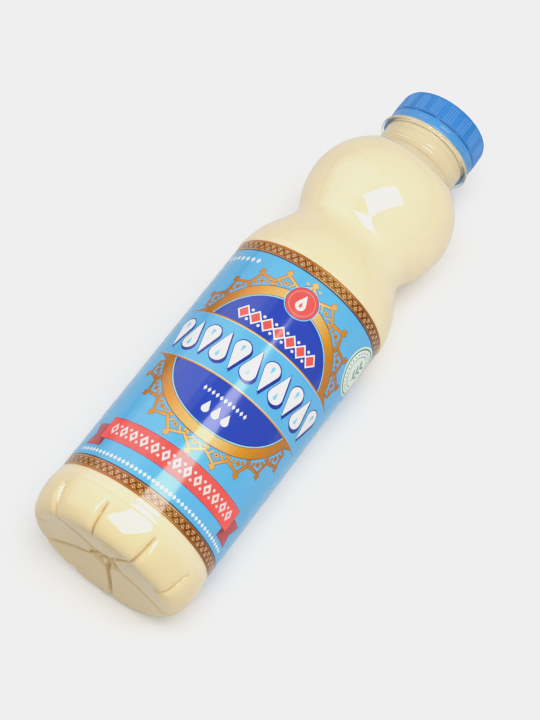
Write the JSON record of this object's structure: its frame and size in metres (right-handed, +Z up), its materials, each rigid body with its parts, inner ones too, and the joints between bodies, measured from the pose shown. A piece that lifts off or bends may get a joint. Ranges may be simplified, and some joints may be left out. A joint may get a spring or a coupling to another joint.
{
  "type": "plastic bottle of condensed milk",
  "caption": "Clear squeeze bottle filled with condensed milk, with a wrap-round label, a waisted grip and a tamper-evident screw cap, lying on its side.",
  "frame": {"origin": "centre of the bounding box's bottom face, on the surface the bottle lies on", "axes": "+Y along the bottle from its base to its cap, +Z up, the label's front turned 16 degrees from +Z towards +X"},
  "size_m": [0.0722, 0.2414, 0.0719],
  "materials": {
    "clear_plastic": "clear blown plastic, glossy",
    "condensed_milk": "cream-coloured thick milk, smooth and opaque",
    "label_film": "printed label film, light blue ground with dark blue, gold and red fields",
    "cap_plastic": "moulded blue plastic, satin"
  },
  "bodies": {
    "root": {"bottle_shell": "clear_plastic", "condensed_milk": "condensed_milk", "label": "label_film", "screw_cap": "cap_plastic"}
  },
  "joints": []
}
